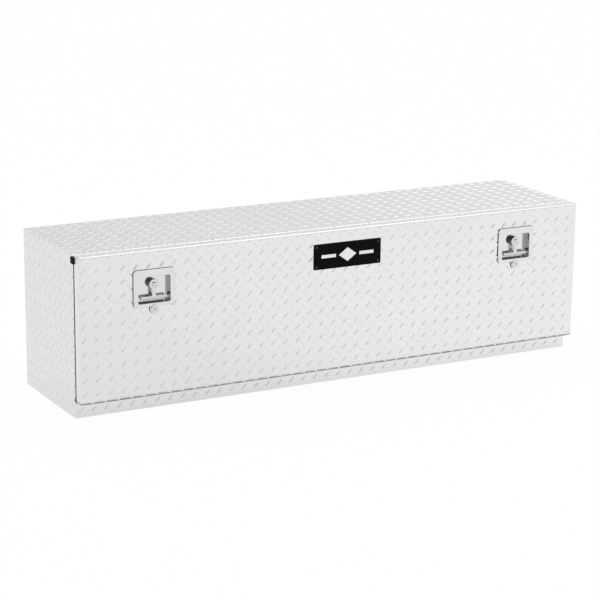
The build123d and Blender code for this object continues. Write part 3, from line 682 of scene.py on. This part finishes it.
lug_field(
    "sill_lugs", "case", lug_metal, Vector((case_low.x + EDGE, case_low.y, SILL_GAP)),
    (1, 0, 0), (0, 0, 1),
    (length - 2 * EDGE, sill_top - SILL_GAP - EDGE), (0.3, 0.46),
)
bpy.data.objects.remove(pair)

# %% [markdown]
# ## The welds
#
# The door's four corners and the case's back seams are welded. A hand-laid bead in aluminium is a
# row of overlapping round ripples. One ripple is a flattened ball, half sunk in the metal,
# and an Array modifier repeats it along the seam.

# %% Weld beads
BEAD_HALF = 1.7 * MM
BEAD_STEP = 2.4 * MM
BEAD_FLAT = 0.55
TOP_ROUND = 4 * MM                    # radius of the door's upper corners
FOOT_ROUND = 5.5 * MM                 # radius of its lower ones
SEAM_SHORT = 1 * MM                   # a door weld stops this far from each end of its corner
BACK_ASIDE = 2 * MM                   # the back seams lie this far in from the ends
BACK_SHORT = 6 * MM                   # and stop this far from the top and the foot


def weld_bead(name, body, start, end, bulge):
    """A row of ripples from one point to another, standing out in the direction of bulge."""
    bpy.ops.object.select_all(action="DESELECT")
    bpy.ops.mesh.primitive_uv_sphere_add(segments=8, ring_count=5, radius=BEAD_HALF, location=(0, 0, 0))
    bead = bpy.context.object
    bead.name = name
    bpy.ops.object.mode_set(mode="EDIT")
    bpy.ops.mesh.select_all(action="SELECT")
    bpy.ops.transform.resize(value=(1, 1, BEAD_FLAT))
    bpy.ops.object.mode_set(mode="OBJECT")
    along = end - start
    array = bead.modifiers.new("ripples", "ARRAY")
    array.use_relative_offset = False
    array.use_constant_offset = True
    array.constant_offset_displace = (BEAD_STEP, 0, 0)
    array.count = int(along.length / BEAD_STEP)
    bpy.ops.object.modifier_apply(modifier=array.name)
    run = along.normalized()
    out = Vector(bulge).normalized()
    turn = Matrix((run, out.cross(run), out)).transposed().to_4x4()
    bead.data.transform(Matrix.Translation(start) @ turn)
    bpy.ops.object.shade_smooth()
    bead.data.materials.clear()
    bead.data.materials.append(weld_metal)
    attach(bead, body)
    print(name, "ripples:", int(along.length / BEAD_STEP))


seam_front = Vector((0, door_low.y + EDGE + SEAM_SHORT, 0))
seam_back = Vector((0, door_high.y - SEAM_SHORT, 0))
levels = (("top", door_high.z, TOP_ROUND, 1), ("foot", door_low.z, FOOT_ROUND, -1))
for side, edge_x in (("left", door_low.x), ("right", door_high.x)):
    outward = -1 if side == "left" else 1
    for level, edge_z, corner_round, rising in levels:
        inset = corner_round * (1 - math.cos(math.radians(45)))
        corner = Vector((edge_x - outward * inset, 0, edge_z - rising * inset))
        weld_bead(
            f"door_weld_{level}_{side}", "door",
            corner + seam_front, corner + seam_back, (outward, 0, rising),
        )
    foot = Vector((edge_x - outward * BACK_ASIDE, case_high.y, BACK_SHORT))
    head = Vector((foot.x, foot.y, top_height - BACK_SHORT))
    weld_bead(f"back_weld_{side}", "case", foot, head, (0, 1, 0))

# %% [markdown]
# ## The badge
#
# A black enamelled plate is riveted near the middle of the door. Real ones carry their maker's
# sign; this one carries only a diamond between two bars. Each is a thin pale plate with a
# bevelled edge: a flat primitive is thickened, sized and stood up on the badge.

# %% The emblem
PRINT_TALL = 0.5 * MM
PRINT_BEVEL = 0.15 * MM
DIAMOND_WIDE = 27 * MM                # from its middle to a side point
DIAMOND_TALL = 19 * MM                # from its middle to its upper point
BAR_WIDE = 44 * MM
BAR_TALL = 9 * MM
BAR_ASIDE = 58 * MM
badge_low, badge_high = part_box("badge_plate")
badge_middle = (badge_low + badge_high) / 2


def raise_shape(name, width, height, aside):
    """Thicken the active flat shape, stand it on the badge's face and finish it."""
    shape = bpy.context.object
    shape.name = name
    bpy.ops.object.mode_set(mode="EDIT")
    bpy.ops.mesh.select_all(action="SELECT")
    bpy.ops.mesh.extrude_region_move(TRANSFORM_OT_translate={"value": (0, 0, PRINT_TALL)})
    bpy.ops.mesh.select_all(action="SELECT")
    bpy.ops.mesh.normals_make_consistent(inside=False)
    bpy.ops.transform.resize(value=(width, height, 1))
    bpy.ops.object.mode_set(mode="OBJECT")
    stand = Matrix(((1, 0, 0), (0, 0, -1), (0, 1, 0))).to_4x4()
    middle = Vector((badge_middle.x + aside, badge_low.y, badge_middle.z))
    shape.data.transform(Matrix.Translation(middle) @ stand)
    bevel = shape.modifiers.new("edge", "BEVEL")
    bevel.width = PRINT_BEVEL
    bevel.segments = 2
    bpy.ops.object.modifier_apply(modifier=bevel.name)
    shape.data.materials.clear()
    shape.data.materials.append(pale_enamel)
    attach(shape, "door")
    print(name, "faces:", len(shape.data.polygons))


bpy.ops.object.select_all(action="DESELECT")
bpy.ops.mesh.primitive_circle_add(vertices=4, radius=1, fill_type="NGON", location=(0, 0, 0))
raise_shape("emblem_diamond", DIAMOND_WIDE, DIAMOND_TALL, 0)
for side, aside in (("left", -BAR_ASIDE), ("right", BAR_ASIDE)):
    bpy.ops.object.select_all(action="DESELECT")
    bpy.ops.mesh.primitive_plane_add(size=1, location=(0, 0, 0))
    raise_shape(f"emblem_bar_{side}", BAR_WIDE, BAR_TALL, aside)
